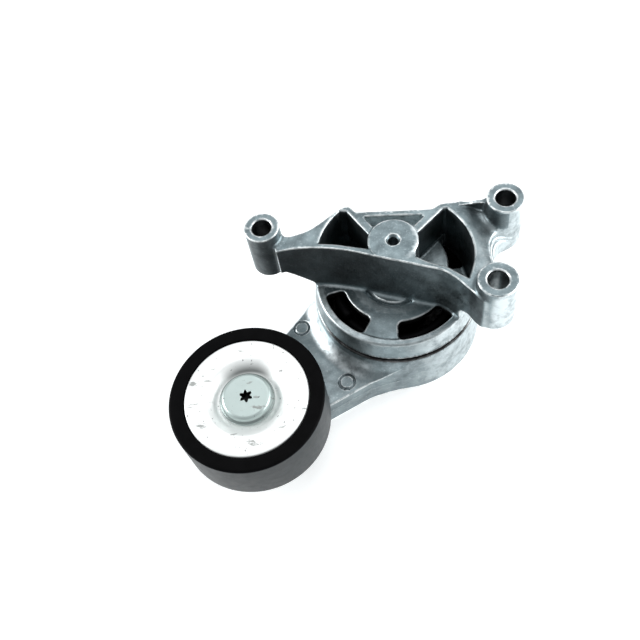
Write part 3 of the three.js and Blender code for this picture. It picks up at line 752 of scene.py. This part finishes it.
turned("friction_ring_fine", [(33, 26, 0.2), (35.2, 26, 0.2), (35.2, 27.2, 0.2), (33, 27.2, 0.2)],
       (0, 0), "bracket", ["friction_ring"], rubber)
turned("damping_sleeve_fine", [(31.3, 6.6, 0.2), (32.3, 6.6, 0.2), (32.3, 32.8, 0.2), (31.3, 32.8, 0.2)],
       (0, 0), "arm", ["damping_sleeve"], rubber)
turned("pivot_pin", [(0, 0), (10.4, 0, 0.6), (11, 0.6, 0.4), (11, 3, 0.3), (7.3, 3, 0.3), (7.3, 56.2, 0.3),
                     (6.5, 57, 0.3), (0, 57)],
       (0, 0), "bracket", ["pivot_shaft"], ground_steel, 128)
turned("rear_washer", [(7.4, 3.1, 0.2), (16, 3.1, 0.3), (16, 5.3, 0.3), (7.4, 5.3, 0.2)],
       (0, 0), "bracket", ["rear_thrust_washer"], zinc_shield, 128)
for name, low, high in (("rear_seal", 24.2, 25.1), ("front_seal", 34.9, 35.8)):
    profile = [(11.9, low, 0.15), (16.7, low, 0.15), (16.7, high, 0.15), (11.9, high, 0.15)]
    node = name.replace("seal", "bearing_seal")
    turned(name, profile, PULLEY, "pulley", [node], rubber, 128)

turned("front_washer", [(7.4, 29.4, 0.2), (13, 29.4, 0.3), (13, 30.5, 0.3), (7.4, 30.5, 0.2)],
       (0, 0), "bracket", ["front_thrust_washer"], pale_plastic, 128)
for node, low, high in (("rear_pivot_bush", 5.6, 14.5), ("front_pivot_bush", 17.5, 29)):
    profile = [(7.4, low, 0.3), (9.5, low, 0.3), (9.5, high, 0.3), (7.4, high, 0.3)]
    turned(node + "_fine", profile, (0, 0), "arm", [node], pale_plastic, 128)


def race(side):
    """The ball groove of a bearing ring, from its back edge to its front."""
    turns = [math.radians(a) for a in range(-42, 43, 7)]
    return [(BALL_PATH + side * 3.55 * math.cos(a), BALL_HEIGHT + 3.55 * math.sin(a)) for a in turns]


turned("outer_ring", [(16.9, 24, 0.2), (20, 24, 0.6), (20, 36, 0.6), (16.9, 36, 0.2), *reversed(race(1))],
       PULLEY, "pulley", ["bearing_outer_ring"], ground_steel, 160)
turned("inner_ring", [(8.5, 24, 0.4), (11.6, 24, 0.2), *race(-1), (11.6, 36, 0.2), (8.5, 36, 0.4)],
       PULLEY, "arm", ["bearing_inner_ring"], ground_steel, 160)
turned("spacer_fine", [(4.3, 36.1, 0.2), (11, 36.1, 0.3), (11, 37.2, 0.3), (4.3, 37.2, 0.2)],
       PULLEY, "arm", ["shield_spacer"], zinc_bolt, 128)
ball = [(3.35 * math.cos(a), BALL_HEIGHT + 3.35 * math.sin(a))
        for a in (math.radians(a) for a in range(-84, 85, 7))]
ball = [(0, BALL_HEIGHT - 3.35), *ball, (0, BALL_HEIGHT + 3.35)]
for i in range(BALLS):
    a = math.radians(360 / BALLS * i)
    centre = (PULLEY[0] + BALL_PATH * math.cos(a), PULLEY[1] + BALL_PATH * math.sin(a))
    turned(f"ball_{i + 1}", ball, centre, "ball_set", [f"bearing_ball_{i + 1}"],
           ground_steel, 48)
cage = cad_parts["bearing_cage"].data.materials
cage.clear()
cage.append(pale_plastic)

TURNS, COIL_R, COIL_LOW, COIL_HIGH = 4.6, 26.4, 8.9, 30.5
coil = []
parts = int(TURNS * 72)
for i in range(parts + 1):
    t = i / parts
    a = 2 * math.pi * TURNS * t
    coil.append((COIL_R * math.cos(a), COIL_R * math.sin(a), COIL_LOW + (COIL_HIGH - COIL_LOW) * t))
tube_along("coiled_spring", coil, 2.2, 20, "bracket", ["torsion_spring"], dark_steel)


def pulley_ribs(count=12, half=0.8, edge=0.25):
    """The webs in the groove at the pulley's back, each a rounded slab."""
    points, faces = [], []
    low, high = 20.5, 29.9
    for i in range(count):
        turn = 2 * math.pi * (i + 0.5) / count
        c, s = math.cos(turn), math.sin(turn)
        first = len(points)
        for across, inset in ((-half, edge), (edge - half, 0), (half - edge, 0), (half, edge)):
            ring = rounded([(23.3, low + inset, 0.4), (28.3, low + inset, 0.4), (28.3, high), (23.3, high)])
            for u, height in ring:
                points.append((PULLEY[0] + u * c - across * s, PULLEY[1] + u * s + across * c, height))
        n = len(ring)
        for layer in range(3):
            for k in range(n):
                m = (k + 1) % n
                a, b = first + layer * n, first + (layer + 1) * n
                faces.append([a + k, b + k, b + m, a + m])
        faces.append([first + k for k in range(n)])
        faces.append([first + 3 * n + k for k in reversed(range(n))])
    return piece("pulley_ribs", points, faces, "pulley", [], black_plastic)


pulley_ribs()

# ------------------------------------------------------------ stage, light and camera

floor_data = bpy.data.meshes.new("floor")
side = 3  # metres from the middle
floor_data.from_pydata([(-side, -side, 0), (side, -side, 0), (side, side, 0), (-side, side, 0)], [],
                       [(0, 1, 2, 3)])
floor = bpy.data.objects.new("floor", floor_data)
bpy.context.scene.collection.objects.link(floor)
floor_finish = Finish("floor", (0.9, 0.91, 0.91), 0.9, 0.0)
floor_finish.shader.inputs["Emission Color"].default_value = (0.98, 1.0, 1.0, 1)
floor_finish.shader.inputs["Emission Strength"].default_value = 0.36
floor_data.materials.append(floor_finish.material)

world = bpy.data.worlds.new("world")
bpy.context.scene.world = world
world.use_nodes = True
world.node_tree.nodes["Background"].inputs["Color"].default_value = (0.95, 0.98, 1.0, 1)
world.node_tree.nodes["Background"].inputs["Strength"].default_value = 0.5


def lamp(name, place, target, size, power):
    """A soft rectangular lamp, its face turned to the target; metres and watts."""
    data = bpy.data.lights.new(name, "AREA")
    data.shape = "RECTANGLE"
    data.size, data.size_y = size
    data.energy = power
    obj = bpy.data.objects.new(name, data)
    bpy.context.scene.collection.objects.link(obj)
    obj.location = place
    obj.rotation_mode = "QUATERNION"
    obj.rotation_quaternion = (Vector(target) - Vector(place)).to_track_quat("-Z", "Y")


lamp("right", (0.55, 0.0, 0.25), (0, 0, 0.03), (0.5, 0.4), 4)
lamp("top", (0.05, 0.35, 0.75), (0, 0, 0.03), (0.6, 0.5), 1.8)
lamp("left", (-0.5, 0.0, 0.22), (-0.03, 0, 0.03), (0.2, 0.3), 2)

camera_data = bpy.data.cameras.new("camera")
camera = bpy.data.objects.new("camera", camera_data)
bpy.context.scene.collection.objects.link(camera)
right, up, back = (0.993255, 0, -0.115954), (0.057881, 0.866504, 0.495803), (0.100475, -0.499171, 0.860659)
spot = (0.000865, -0.190874, 0.331)
camera.matrix_world = Matrix([(right[i], up[i], back[i], spot[i]) for i in range(3)] + [(0, 0, 0, 1)])
camera_data.sensor_width = 36
camera_data.lens = 788 / 640 * 36
camera_data.clip_start = 0.01
bpy.context.scene.camera = camera
bpy.context.scene.view_settings.view_transform = "Standard"
